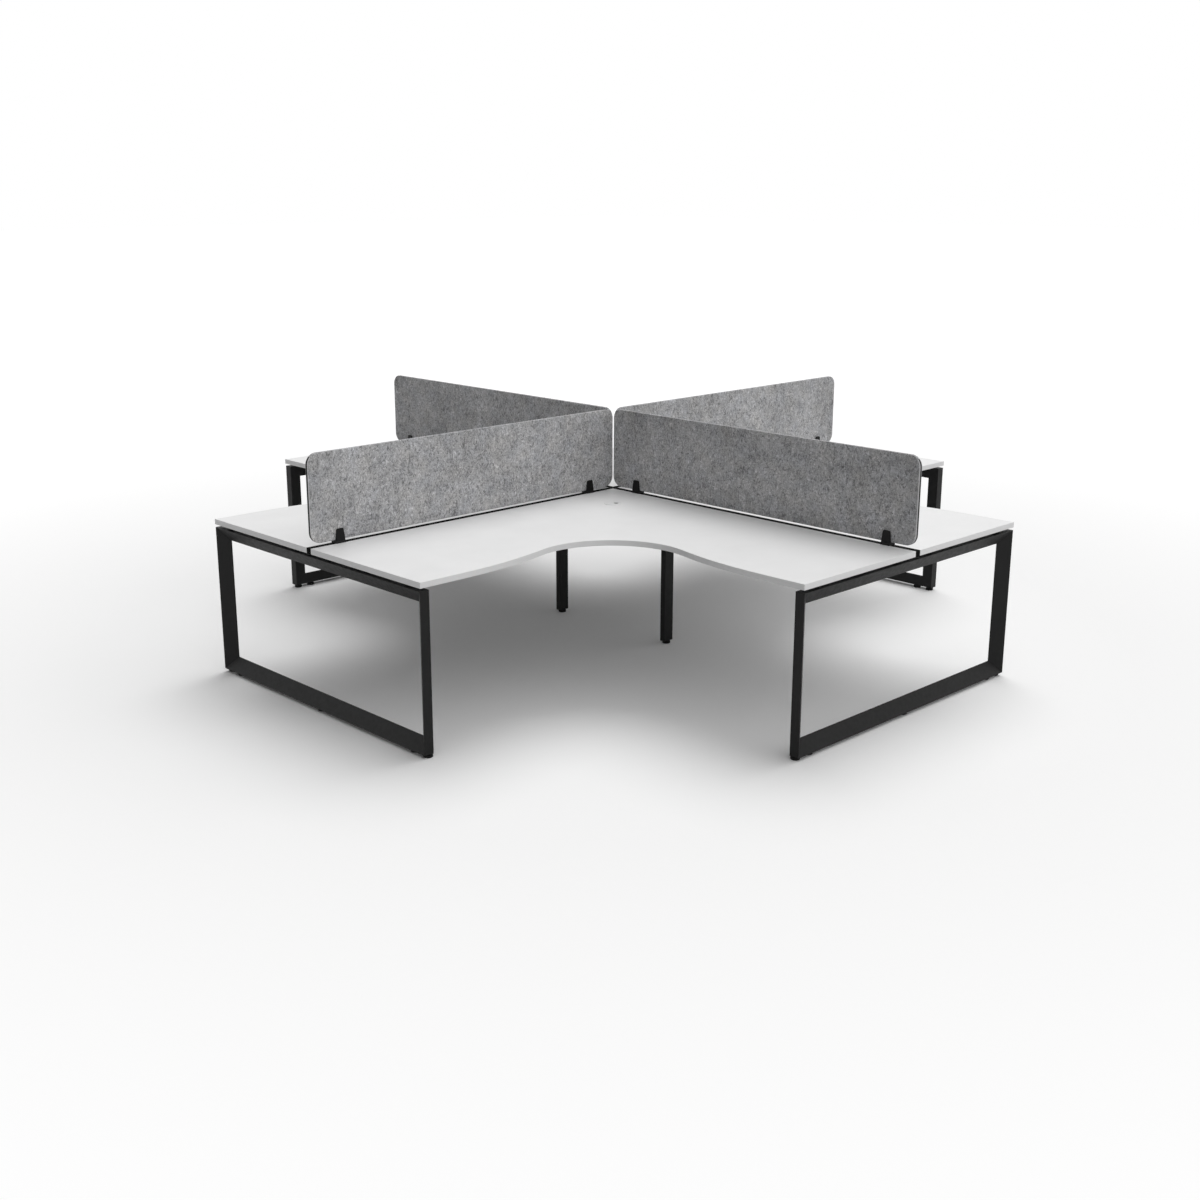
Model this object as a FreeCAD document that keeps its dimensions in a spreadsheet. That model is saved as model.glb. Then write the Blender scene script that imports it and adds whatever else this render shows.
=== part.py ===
import FreeCAD
import Part
import Sketcher
import math
import os

# Pod of four corner worktops around a cross of screens, on loop legs and two centre posts.
# Millimetres, +Z up, origin on the floor at the middle of the pod, arms along X and Y.
SIZES = {
    # worktops
    "top_length": 1800,
    "top_depth": 750,
    "top_thickness": 25,
    "top_height": 735,
    "top_gap": 32,
    "waist_inset": 74,
    "hollow_radius": 338,
    "flat_length": 226,
    "edge_round": 1,
    # loop legs
    "loop_inset": 3,
    "foot_rise": 15,
    "shadow_gap": 12,
    "tube_depth": 45,
    "tube_width": 60,
    "lip_depth": 4,
    "edge_land": 1,
    "tube_wall": 2.5,
    # centre posts and their crossheads
    "post_place": 381.5,
    "post_width": 30,
    "post_depth": 60,
    "post_round": 1.5,
    "post_plate_length": 140,
    "post_plate_width": 44,
    "post_bolt_place": 52,
    # rails
    "beam_side": 40,
    "rail_place": 340,
    "end_plate_width": 80,
    "plate_thickness": 5,
    # frame bolts
    "bolt_radius": 4,
    "bolt_head_radius": 6.5,
    "bolt_head_height": 5,
    "bolt_length": 17,
    "bolt_edge": 10,
    "bolt_clearance": 0.5,
    # worktop screws and spacers
    "screw_radius": 3,
    "screw_head_radius": 6,
    "screw_head_height": 4,
    "screw_grip": 16,
    "screw_clearance": 0.3,
    "screw_inner_place": 600,
    "screw_end_inset": 316,
    "access_radius": 9,
    "spacer_radius": 14,
    "pad_inner_place": 120,
    "pad_side_inset": 103,
    # levelling feet and their inserts
    "foot_radius": 20,
    "foot_edge": 2,
    "foot_pad": 11,
    "foot_neck_radius": 9,
    "foot_clearance": 0.3,
    "stud_radius": 4,
    "stud_length": 24,
    "foot_end_inset": 19,
    "foot_inner_inset": 100,
    "foot_setback": 31,
    "insert_radius": 7,
    "insert_flange_radius": 10,
    "insert_flange": 2.5,
    "insert_length": 17,
    "insert_fit": 0.3,
    # gap covers
    "cover_clearance": 0.25,
    "cover_wall": 2.5,
    # screens
    "screen_height": 388,
    "screen_thickness": 18,
    "screen_rise": 14,
    "screen_inner_inset": 11,
    "screen_end_inset": 9,
    "screen_corner": 50,
    "screen_round": 3,
    # screen clamps
    "clamp_length": 48,
    "clamp_crown_length": 36,
    "clamp_chamfer": 4,
    "clamp_height": 63,
    "clamp_width": 42,
    "clamp_foot_height": 5,
    "clamp_shoulder_height": 9,
    "clamp_shoulder_width": 34,
    "clamp_crown_width": 28,
    "clamp_inner_inset": 164,
    "clamp_outer_inset": 145,
    "clamp_plate_width": 70,
    "clamp_plate_thickness": 4,
    "clamp_bolt_radius": 3,
    "clamp_bolt_head_radius": 5,
    "clamp_bolt_head": 4,
    "clamp_bolt_grip": 10,
    # cable ports
    "port_place": 250,
    "port_radius": 42,
    "port_lip": 2,
    "port_bore_radius": 35,
    "port_depth": 20,
    "port_wall": 3,
    "port_ledge": 3,
    "port_clearance": 0.3,
    "cap_thickness": 3,
    "cable_radius": 12.5,
    "cable_offset": 15.5,
    # how far a cutting shape runs past the face that it cuts
    "overrun": 1,
}

ARMS = ("east", "north", "west", "south")
CORNERS = ("southeast", "northeast", "northwest", "southwest")
QUARTER = 90
TURNS = 4
ZERO = "0"
# how far a direction may lean and still count as facing along an axis
FACING_SHARE = 0.7

# places that several pieces share, worked out from the driving sizes
HALF_GAP = "(Size.top_gap / 2)"
REACH = f"({HALF_GAP} + Size.top_length)"
SIDE = f"({HALF_GAP} + Size.top_depth)"
TOP_UNDER = "(Size.top_height - Size.top_thickness)"
FRAME_TOP = f"({TOP_UNDER} - Size.shadow_gap)"
LOOP_HALF = f"({SIDE} - Size.loop_inset)"
LOOP_BACK = f"({REACH} - Size.tube_depth)"
BEAM_UNDER = f"({FRAME_TOP} - Size.beam_side)"
BEAM_MIDDLE = f"({FRAME_TOP} - Size.beam_side / 2)"
HEAD_UNDER = f"({BEAM_UNDER} - Size.beam_side)"
POST_TOP = f"({HEAD_UNDER} - Size.plate_thickness)"
RAIL_SIDE = "(Size.rail_place + Size.beam_side / 2)"
BOLT_OUT = "(Size.end_plate_width / 2 - Size.bolt_edge)"
BOLT_HOLE = "(Size.bolt_radius + Size.bolt_clearance)"
SCREW_HOLE = "(Size.screw_radius + Size.screw_clearance)"
SCREW_OUTER = f"({REACH} - Size.screw_end_inset)"
PAD_SIDE = f"({LOOP_HALF} - Size.pad_side_inset)"
PAD_REACH = f"({REACH} - Size.tube_depth / 2)"
FOOT_REACH = f"({REACH} - Size.foot_setback)"
STUD_HOLE = "(Size.stud_radius + Size.foot_clearance)"
SCREEN_UNDER = "(Size.top_height + Size.screen_rise)"
SCREEN_END = f"({REACH} - Size.screen_end_inset)"
CLAMP_INNER = "(Size.screen_inner_inset + Size.clamp_inner_inset)"
CLAMP_OUTER = f"({SCREEN_END} - Size.clamp_outer_inset)"
CLAMP_BOLT_HOLE = "(Size.clamp_bolt_radius + Size.screw_clearance)"
PORT_PLACE = f"({HALF_GAP} + Size.port_place)"
PORT_INNER = "(Size.port_bore_radius - Size.port_clearance - Size.port_wall)"
CAP_UNDER = "(Size.top_height + Size.port_lip - Size.cap_thickness)"

doc = FreeCAD.newDocument("corner_workstation_pod")
sheet = doc.addObject("Spreadsheet::Sheet", "Size")
for row, (alias, value) in enumerate(SIZES.items(), start=1):
    sheet.set(f"A{row}", alias)
    sheet.set(f"B{row}", str(value))
    sheet.setAlias(f"B{row}", alias)
doc.recompute()
probe = doc.addObject("App::FeaturePython", "Probe")
subparts = []


def size(expression):
    """The value of an expression of the sheet's sizes."""
    return float(probe.evalExpression(expression))


def turned(x, y, quarter):
    """A place on the east arm, turned by quarters about the pod's middle."""
    return ((x, y), (f"-({y})", x), (f"-({x})", f"-({y})"), (y, f"-({x})"))[quarter]


def new_body(label, quarter=0):
    body = doc.addObject("PartDesign::Body", label)
    body.Label = label
    body.Placement = FreeCAD.Placement(
        FreeCAD.Vector(), FreeCAD.Rotation(FreeCAD.Vector(0, 0, 1), QUARTER * quarter))
    subparts.append(body)
    return body


def origin_feature(body, role):
    return next(f for f in body.Origin.OriginFeatures if f.Role == role)


def new_sketch(body, role, lift=None):
    """A sketch on an origin plane of its body, lifted along the plane's normal."""
    sketch = body.newObject("Sketcher::SketchObject", "Sketch")
    sketch.AttachmentSupport = (origin_feature(body, role), [""])
    sketch.MapMode = "FlatFace"
    if lift is not None:
        sketch.setExpression("AttachmentOffset.Base.z", lift)
    return sketch


def bind(sketch, constraints, expressions):
    """Adds the constraints in one go and ties those that have an expression to the sheet."""
    numbers = sketch.addConstraint(constraints)
    for number, expression in zip(numbers, expressions):
        if expression is not None:
            sketch.setExpression(f"Constraints[{number}]", expression)


def point_constraints(geometry, end, x, y):
    constraints = [
        Sketcher.Constraint("DistanceX", -1, 1, geometry, end, size(x)),
        Sketcher.Constraint("DistanceY", -1, 1, geometry, end, size(y)),
    ]
    return constraints, [x, y]


def polygon(sketch, corners):
    """A closed outline of straight lines, each corner tied to the sheet."""
    spots = [FreeCAD.Vector(size(x), size(y), 0) for x, y in corners]
    lines = [Part.LineSegment(a, b) for a, b in zip(spots, spots[1:] + spots[:1])]
    numbers = sketch.addGeometry(lines)
    constraints = []
    expressions = []
    for number, after, (x, y) in zip(numbers, numbers[1:] + numbers[:1], corners):
        constraints.append(Sketcher.Constraint("Coincident", number, 2, after, 1))
        expressions.append(None)
        pair, names = point_constraints(number, 1, x, y)
        constraints += pair
        expressions += names
    bind(sketch, constraints, expressions)


def rectangle(sketch, x_low, y_low, x_high, y_high):
    polygon(sketch, [(x_low, y_low), (x_high, y_low), (x_high, y_high), (x_low, y_high)])


def circles(sketch, places, radius):
    """Round outlines of one radius at the given places."""
    normal = FreeCAD.Vector(0, 0, 1)
    rounds = [Part.Circle(FreeCAD.Vector(size(x), size(y), 0), normal, size(radius)) for x, y in places]
    constraints = []
    expressions = []
    for number, (x, y) in zip(sketch.addGeometry(rounds), places):
        pair, names = point_constraints(number, 3, x, y)
        constraints += pair + [Sketcher.Constraint("Radius", number, size(radius))]
        expressions += names + [radius]
    bind(sketch, constraints, expressions)


def pad(body, sketch, length, symmetric=False):
    feature = body.newObject("PartDesign::Pad", "Pad")
    feature.Profile = sketch
    if symmetric:
        feature.SideType = "Symmetric"
    feature.setExpression("Length", length)
    return feature


def pocket(body, sketch, length=None, upward=False):
    """A cut from the sketch against its normal, or along it when upward; through all with no length."""
    feature = body.newObject("PartDesign::Pocket", "Pocket")
    feature.Profile = sketch
    feature.Reversed = upward
    if length is None:
        feature.SideType = "Symmetric"
        feature.Type = "ThroughAll"
    else:
        feature.setExpression("Length", length)
    return feature


def polar(body, features, copies=TURNS):
    """Copies of the features around the pod's upright axis."""
    pattern = body.newObject("PartDesign::PolarPattern", "Pattern")
    pattern.Originals = features
    pattern.Axis = (origin_feature(body, "Z_Axis"), [""])
    pattern.Angle = QUARTER * TURNS
    pattern.Occurrences = copies
    body.Tip = pattern
    return pattern


def fillet(body, base, edges, radius):
    names = [f"Edge{n}" for n, e in enumerate(base.Shape.Edges, start=1) if any(e.isSame(w) for w in edges)]
    feature = body.newObject("PartDesign::Fillet", "Fillet")
    feature.Base = (base, names)
    feature.setExpression("Radius", radius)
    return feature


def primitive(kind, **expressions):
    """A Part primitive whose properties are tied to the sheet; x, y and z give its place."""
    shape = doc.addObject(f"Part::{kind}", kind)
    for name, expression in expressions.items():
        target = f"Placement.Base.{name}" if name in ("x", "y", "z") else name
        shape.setExpression(target, expression)
    return shape


def cut(base, tools, label="Cut"):
    joined = tools[0]
    if len(tools) > 1:
        joined = doc.addObject("Part::MultiFuse", "Tools")
        joined.Shapes = tools
    result = doc.addObject("Part::Cut", label)
    result.Base = base
    result.Tool = joined
    return result


def tangent_joints(lines):
    """The outline's joints: plain corners, and tangent ones where an arc meets its neighbour."""
    back, end, flat, wave_x, corner, wave_y, flat_y, end_y, back_y = lines
    plain = [(back, 2, end, 1), (end, 2, flat, 1), (flat_y, 2, end_y, 1), (end_y, 2, back_y, 1), (back_y, 2, back, 1)]
    smooth = [(flat, 2, wave_x, 2), (wave_x, 1, corner, 1), (corner, 2, wave_y, 2), (wave_y, 1, flat_y, 1)]
    return [Sketcher.Constraint("Coincident", *joint) for joint in plain] + [
        Sketcher.Constraint("Tangent", *joint) for joint in smooth]


def wave_outline(sketch):
    """The worktop's outline: two arms, joined in front by a wave of three tangent arcs."""
    wave = f"({REACH} - Size.flat_length)"
    middle = f"({SIDE} - Size.waist_inset + Size.hollow_radius)"
    n, a, d, w, c, hollow = (size(e) for e in (HALF_GAP, REACH, SIDE, wave, middle, "Size.hollow_radius"))
    run = w - c
    drop = c - d
    swell = (drop ** 2 + run ** 2 - hollow ** 2) / (2 * (hollow - drop))
    slope = math.asin(run / (swell + hollow))
    up = FreeCAD.Vector(0, 0, 1)
    right = math.pi / 2
    circle_x = Part.Circle(FreeCAD.Vector(w, swell - d, 0), up, swell)
    circle_c = Part.Circle(FreeCAD.Vector(c, -c, 0), up, hollow)
    circle_y = Part.Circle(FreeCAD.Vector(d - swell, -w, 0), up, swell)
    corners = [FreeCAD.Vector(x, -y, 0) for x, y in (
        (n, n), (a, n), (a, d), (w, d), (d, w), (d, a), (n, a))]
    lines = sketch.addGeometry([
        Part.LineSegment(corners[0], corners[1]),
        Part.LineSegment(corners[1], corners[2]),
        Part.LineSegment(corners[2], corners[3]),
        Part.ArcOfCircle(circle_x, -right - slope, -right),
        Part.ArcOfCircle(circle_c, right - slope, 2 * right + slope),
        Part.ArcOfCircle(circle_y, 0, slope),
        Part.LineSegment(corners[4], corners[5]),
        Part.LineSegment(corners[5], corners[6]),
        Part.LineSegment(corners[6], corners[0]),
    ])
    back, end, flat, _, corner, _, flat_y, end_y, back_y = lines
    constraints = tangent_joints(lines)
    constraints += [Sketcher.Constraint("Horizontal", line) for line in (back, flat, end_y)]
    constraints += [Sketcher.Constraint("Vertical", line) for line in (end, flat_y, back_y)]
    expressions = [None] * len(constraints)
    for line, x, y in ((back, HALF_GAP, f"-{HALF_GAP}"), (flat, REACH, f"-{SIDE}"), (end_y, SIDE, f"-{REACH}")):
        pair, names = point_constraints(line, 1, x, y)
        constraints += pair
        expressions += names
    pair, names = point_constraints(corner, 3, middle, f"-{middle}")
    constraints += pair + [
        Sketcher.Constraint("Radius", corner, hollow),
        Sketcher.Constraint("DistanceX", -1, 1, flat, 2, w),
        Sketcher.Constraint("DistanceY", -1, 1, flat_y, 1, -w),
    ]
    expressions += names + ["Size.hollow_radius", wave, f"-{wave}"]
    bind(sketch, constraints, expressions)


def corner_places(inner, outer, side):
    """Places on the two arms of the southeast worktop, the second arm mirrored in the diagonal."""
    places = []
    for along in (inner, outer):
        places += [(along, f"-({side})"), (side, f"-({along})")]
    return places


SCREW_PLACES = corner_places("Size.screw_inner_place", SCREW_OUTER, "Size.rail_place")
PAD_PLACES = []
for across in ("Size.pad_inner_place", PAD_SIDE):
    PAD_PLACES += [(PAD_REACH, f"-({across})"), (across, f"-({PAD_REACH})")]


def make_worktop(corner, quarter):
    board = new_body(f"worktop_{corner}", quarter)
    sketch = new_sketch(board, "XY_Plane", TOP_UNDER)
    wave_outline(sketch)
    slab = pad(board, sketch, "Size.top_thickness")
    doc.recompute()
    rims = [f.OuterWire for f in slab.Shape.Faces if abs(f.normalAt(0, 0).z) > FACING_SHARE]
    fillet(board, slab, [edge for wire in rims for edge in wire.Edges], "Size.edge_round")
    hole = new_sketch(board, "XY_Plane", "Size.top_height")
    circles(hole, [(PORT_PLACE, f"-{PORT_PLACE}")], "Size.port_bore_radius")
    pocket(board, hole, "Size.top_thickness + Size.overrun")
    pilots = new_sketch(board, "XY_Plane", TOP_UNDER)
    circles(pilots, SCREW_PLACES, SCREW_HOLE)
    pocket(board, pilots, "Size.screw_grip + Size.overrun", upward=True)


def make_cover(arm, quarter):
    cover = new_body(f"gap_cover_{arm}", quarter)
    half = f"({HALF_GAP} - Size.cover_clearance)"
    sketch = new_sketch(cover, "XY_Plane", TOP_UNDER)
    tip = "Size.cover_clearance"
    shoulder = f"({half} + {tip})"
    polygon(sketch, [(tip, ZERO), (shoulder, f"-{half}"), (REACH, f"-{half}"), (REACH, half),
                     (shoulder, half)])
    pad(cover, sketch, "Size.top_thickness")
    inner = f"({half} - Size.cover_wall)"
    channel = new_sketch(cover, "XY_Plane", TOP_UNDER)
    rectangle(channel, f"{shoulder} + Size.cover_wall", f"-{inner}", f"{REACH} - Size.cover_wall", inner)
    pocket(cover, channel, "Size.top_thickness - Size.cover_wall", upward=True)
    holes = new_sketch(cover, "XY_Plane", "Size.top_height")
    circles(holes, [(CLAMP_INNER, ZERO), (CLAMP_OUTER, ZERO)], CLAMP_BOLT_HOLE)
    pocket(cover, holes, "Size.cover_wall + Size.overrun")


def make_screen(arm, quarter):
    screen = new_body(f"screen_{arm}", quarter)
    sketch = new_sketch(screen, "XZ_Plane")
    rectangle(sketch, "Size.screen_inner_inset", SCREEN_UNDER, SCREEN_END, f"{SCREEN_UNDER} + Size.screen_height")
    panel = pad(screen, sketch, "Size.screen_thickness", symmetric=True)
    doc.recompute()
    across = [e for e in panel.Shape.Edges if abs(e.tangentAt(e.FirstParameter).y) > FACING_SHARE]
    rounded = fillet(screen, panel, across, "Size.screen_corner")
    doc.recompute()
    rims = [f.OuterWire for f in rounded.Shape.Faces if abs(f.normalAt(0, 0).y) > FACING_SHARE]
    fillet(screen, rounded, [edge for wire in rims for edge in wire.Edges], "Size.screen_round")


def frame_box(inset, outer, depth):
    """A block of the loop's outline, drawn in by inset, from a depth behind the outer face."""
    return primitive(
        "Box", Length=f"2 * ({LOOP_HALF} - ({inset}))", Width=depth,
        Height=f"{FRAME_TOP} - Size.foot_rise - 2 * ({inset})",
        x=f"-({LOOP_HALF} - ({inset}))", y=f"-{REACH} + ({outer})", z=f"Size.foot_rise + ({inset})")


def frame_funnel(inset, outer, inner_inset, depth):
    """A funnel through the loop: wide at the outer depth, narrow further in."""
    wide = f"({LOOP_HALF} - ({inset}))"
    slim = f"({LOOP_HALF} - ({inner_inset}))"
    start = f"(-{REACH} + ({outer}))"
    return primitive(
        "Wedge", Ymin=start, Ymax=f"{start} + ({depth})", Xmin=f"-{wide}", Xmax=wide,
        Zmin=f"Size.foot_rise + ({inset})", Zmax=f"{FRAME_TOP} - ({inset})", X2min=f"-{slim}", X2max=slim,
        Z2min=f"Size.foot_rise + ({inner_inset})", Z2max=f"{FRAME_TOP} - ({inner_inset})")


FOOT_SIDES = (
    f"({LOOP_HALF} - Size.foot_end_inset)", f"({LOOP_HALF} - Size.foot_inner_inset)", ZERO,
    f"-({LOOP_HALF} - Size.foot_inner_inset)", f"-({LOOP_HALF} - Size.foot_end_inset)")
BOLT_SIDES = [f"({side}Size.rail_place {step} {BOLT_OUT})" for side in ("", "-") for step in ("+", "-")]


def make_loop(arm, quarter):
    """A mitred frame of hollow tube: deep outside, bevelled towards the opening."""
    bevel = "(Size.tube_depth - Size.lip_depth)"
    rise = "(Size.tube_width - Size.edge_land)"
    shift = f"(Size.tube_wall * sqrt({rise} ^ 2 + {bevel} ^ 2) / {bevel})"
    start = f"((Size.tube_wall + {shift} - Size.edge_land) * {bevel} / {rise})"
    inner = "(Size.tube_width - Size.tube_wall)"
    length = f"(({inner} - Size.tube_wall) * {bevel} / {rise})"
    through = "Size.tube_depth + 2 * Size.overrun"
    outside = cut(frame_box(ZERO, ZERO, "Size.tube_depth"), [
        frame_funnel("Size.edge_land", ZERO, "Size.tube_width", bevel),
        frame_box("Size.tube_width", "-Size.overrun", through)])
    inside = cut(frame_box("Size.tube_wall", start, f"Size.tube_depth - Size.tube_wall - {start}"), [
        frame_funnel("Size.tube_wall", start, inner, length),
        frame_box(inner, "-Size.overrun", through)])
    holes = []
    for across in FOOT_SIDES:
        holes.append(primitive(
            "Cylinder", Radius="Size.insert_radius", Height="Size.tube_wall + 2 * Size.overrun",
            x=across, y=f"-{FOOT_REACH}", z="Size.foot_rise - Size.overrun"))
    for across in BOLT_SIDES:
        hole = primitive("Cylinder", Radius=BOLT_HOLE, Height="Size.tube_wall + 2 * Size.overrun", x=across,
                         y=f"-{LOOP_BACK} + Size.overrun", z=BEAM_MIDDLE)
        hole.Placement.Rotation = FreeCAD.Rotation(FreeCAD.Vector(1, 0, 0), QUARTER)
        holes.append(hole)
    loop = cut(outside, [inside] + holes, f"loop_leg_{arm}")
    loop.Label = f"loop_leg_{arm}"
    loop.Placement = FreeCAD.Placement(
        FreeCAD.Vector(), FreeCAD.Rotation(FreeCAD.Vector(0, 0, 1), QUARTER * (quarter + 1)))
    subparts.append(loop)


def tube_outline(sketch, y_middle):
    """Outer and inner square of a rail, its top level with the frame."""
    half = "Size.beam_side / 2"
    thin = "(Size.beam_side / 2 - Size.tube_wall)"
    for reach in (half, thin):
        rectangle(sketch, f"{y_middle} - {reach}", f"{BEAM_MIDDLE} - {reach}",
                  f"{y_middle} + {reach}", f"{BEAM_MIDDLE} + {reach}")


def end_plate(body, x, y_middle):
    """A plate welded across a rail's end, with its two bolt holes."""
    sketch = new_sketch(body, "YZ_Plane", x)
    half = "Size.end_plate_width / 2"
    rectangle(sketch, f"{y_middle} - {half}", BEAM_UNDER, f"{y_middle} + {half}", FRAME_TOP)
    circles(sketch, [(f"{y_middle} + {BOLT_OUT}", BEAM_MIDDLE), (f"{y_middle} - {BOLT_OUT}", BEAM_MIDDLE)], BOLT_HOLE)
    pad(body, sketch, "Size.plate_thickness")


def make_rail(label, quarter, x_low, x_high, y_middle, screw_places):
    """A square tube between two end plates, drilled for the worktop screws."""
    rail = new_body(label, quarter)
    sketch = new_sketch(rail, "YZ_Plane", f"{x_low} + Size.plate_thickness")
    tube_outline(sketch, y_middle)
    pad(rail, sketch, f"{x_high} - ({x_low}) - 2 * Size.plate_thickness")
    end_plate(rail, x_low, y_middle)
    end_plate(rail, f"{x_high} - Size.plate_thickness", y_middle)
    places = [(x, y_middle) for x in screw_places]
    upper = new_sketch(rail, "XY_Plane", FRAME_TOP)
    circles(upper, places, SCREW_HOLE)
    pocket(rail, upper, "Size.tube_wall + Size.overrun")
    lower = new_sketch(rail, "XY_Plane", BEAM_UNDER)
    circles(lower, places, "Size.access_radius")
    pocket(rail, lower, "Size.tube_wall + Size.overrun", upward=True)
    return rail


def make_main_rail(arm, side):
    """A rail from loop to loop; the upright plane of its side holes looks along -Y."""
    y_middle = f"{side}Size.rail_place"
    south = side == "-"
    places = [f"{sign}{x}" for sign in ("", "-") for x in ("Size.screw_inner_place", SCREW_OUTER)]
    rail = make_rail(f"main_rail_{arm}", 0, f"-{LOOP_BACK}", LOOP_BACK, y_middle, places)
    post_holes = new_sketch(rail, "XY_Plane", BEAM_UNDER)
    circles(post_holes, [("Size.post_place", y_middle), ("-Size.post_place", y_middle)], BOLT_HOLE)
    pocket(rail, post_holes, "Size.tube_wall + Size.overrun", upward=True)
    side_holes = new_sketch(rail, "XZ_Plane", RAIL_SIDE if south else f"-{RAIL_SIDE}")
    circles(side_holes, [(x, BEAM_MIDDLE) for x in BOLT_SIDES], BOLT_HOLE)
    pocket(rail, side_holes, "Size.tube_wall + Size.overrun", upward=not south)


def make_post(arm, quarter):
    """A flat-sided tube with a closed foot and a plate on top for the crosshead."""
    post = new_body(f"centre_post_{arm}", quarter)

    def oblong(sketch, wall):
        width = f"(Size.post_width / 2 - {wall})"
        depth = f"(Size.post_depth / 2 - {wall})"
        rectangle(sketch, f"Size.post_place - {width}", f"-{depth}", f"Size.post_place + {width}", depth)

    base = new_sketch(post, "XY_Plane", "Size.foot_rise")
    oblong(base, ZERO)
    column = pad(post, base, f"{POST_TOP} - Size.foot_rise")
    doc.recompute()
    upright = [e for e in column.Shape.Edges if abs(e.tangentAt(e.FirstParameter).z) > FACING_SHARE]
    fillet(post, column, upright, "Size.post_round")
    hollow = new_sketch(post, "XY_Plane", POST_TOP)
    oblong(hollow, "Size.tube_wall")
    pocket(post, hollow, f"{POST_TOP} - Size.foot_rise - Size.tube_wall")
    foot_hole = new_sketch(post, "XY_Plane", "Size.foot_rise + Size.tube_wall")
    circles(foot_hole, [("Size.post_place", ZERO)], "Size.insert_radius")
    pocket(post, foot_hole, "Size.tube_wall + Size.overrun")
    plate = new_sketch(post, "XY_Plane", POST_TOP)
    half_width = "Size.post_plate_width / 2"
    rectangle(plate, f"Size.post_place - {half_width}", "-Size.post_plate_length / 2",
              f"Size.post_place + {half_width}", "Size.post_plate_length / 2")
    circles(plate, [("Size.post_place", f"{side}Size.post_bolt_place") for side in ("", "-")], BOLT_HOLE)
    pad(post, plate, "Size.plate_thickness")


def make_crosshead(arm, quarter):
    """A closed square tube across the post, with the holes of its bolts."""
    half = f"({RAIL_SIDE})"
    outside = primitive("Box", Length="Size.beam_side", Width=f"2 * {half}", Height="Size.beam_side",
                        x="Size.post_place - Size.beam_side / 2", y=f"-{half}", z=HEAD_UNDER)
    clear = "(Size.beam_side - 2 * Size.tube_wall)"
    inside = primitive("Box", Length=clear, Width=f"2 * ({half} - Size.tube_wall)", Height=clear,
                       x=f"Size.post_place - {clear} / 2", y=f"-({half} - Size.tube_wall)",
                       z=f"{HEAD_UNDER} + Size.tube_wall")
    holes = []
    for side in ("", "-"):
        holes.append(primitive("Cylinder", Radius=BOLT_HOLE, Height="Size.beam_side + 2 * Size.overrun",
                               x="Size.post_place", y=f"{side}Size.rail_place", z=f"{HEAD_UNDER} - Size.overrun"))
        holes.append(primitive("Cylinder", Radius=BOLT_HOLE, Height="Size.tube_wall + 2 * Size.overrun",
                               x="Size.post_place", y=f"{side}Size.post_bolt_place",
                               z=f"{HEAD_UNDER} - Size.overrun"))
    crosshead = cut(outside, [inside] + holes, f"crosshead_{arm}")
    crosshead.Label = f"crosshead_{arm}"
    crosshead.Placement = FreeCAD.Placement(
        FreeCAD.Vector(), FreeCAD.Rotation(FreeCAD.Vector(0, 0, 1), QUARTER * quarter))
    subparts.append(crosshead)


def bolt_set(body, role, head, shank, places, length, against=False):
    """Bolts at the places of one plane: the heads' start, the shanks' start and the shanks' length."""
    heads = new_sketch(body, role, head)
    circles(heads, places, "Size.bolt_head_radius")
    head_pad = pad(body, heads, "Size.bolt_head_height")
    shanks = new_sketch(body, role, shank)
    circles(shanks, places, "Size.bolt_radius")
    shank_pad = pad(body, shanks, length)
    head_pad.Reversed = against
    shank_pad.Reversed = against
    return [head_pad, shank_pad]


def make_frame_bolts():
    bolts = new_body("frame_bolts")
    inner_face = f"({LOOP_BACK} - Size.plate_thickness)"
    loop_bolts = bolt_set(bolts, "YZ_Plane", f"{inner_face} - Size.bolt_head_height", inner_face,
                          [(y, BEAM_MIDDLE) for y in BOLT_SIDES], "Size.bolt_length")
    polar(bolts, loop_bolts)
    plate_face = f"({RAIL_SIDE} + Size.plate_thickness)"
    rail_bolts = bolt_set(bolts, "XZ_Plane", f"{plate_face} + Size.bolt_head_height", plate_face,
                          [(x, BEAM_MIDDLE) for x in BOLT_SIDES], "Size.bolt_length", against=True)
    polar(bolts, rail_bolts, TURNS // 2)
    long_places = [("Size.post_place", f"{side}Size.rail_place") for side in ("", "-")]
    head_bolts = bolt_set(bolts, "XY_Plane", f"{HEAD_UNDER} - Size.bolt_head_height", HEAD_UNDER, long_places,
                          "Size.beam_side + Size.tube_wall + Size.bolt_head_height")
    polar(bolts, head_bolts, TURNS // 2)
    post_places = [("Size.post_place", f"{side}Size.post_bolt_place") for side in ("", "-")]
    post_bolts = bolt_set(bolts, "XY_Plane", f"{POST_TOP} - Size.bolt_head_height", POST_TOP, post_places,
                          "Size.bolt_length")
    polar(bolts, post_bolts, TURNS // 2)


def make_screws_and_spacers():
    screws = new_body("worktop_screws")
    seat = f"({FRAME_TOP} - Size.tube_wall)"
    heads = new_sketch(screws, "XY_Plane", f"{seat} - Size.screw_head_height")
    circles(heads, SCREW_PLACES, "Size.screw_head_radius")
    head_pad = pad(screws, heads, "Size.screw_head_height")
    shanks = new_sketch(screws, "XY_Plane", seat)
    circles(shanks, SCREW_PLACES, "Size.screw_radius")
    shank_pad = pad(screws, shanks, "Size.tube_wall + Size.shadow_gap + Size.screw_grip")
    polar(screws, [head_pad, shank_pad])

    spacers = new_body("top_spacers")
    discs = new_sketch(spacers, "XY_Plane", FRAME_TOP)
    circles(discs, SCREW_PLACES + PAD_PLACES, "Size.spacer_radius")
    circles(discs, SCREW_PLACES + PAD_PLACES, SCREW_HOLE)
    polar(spacers, [pad(spacers, discs, "Size.shadow_gap")])


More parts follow.
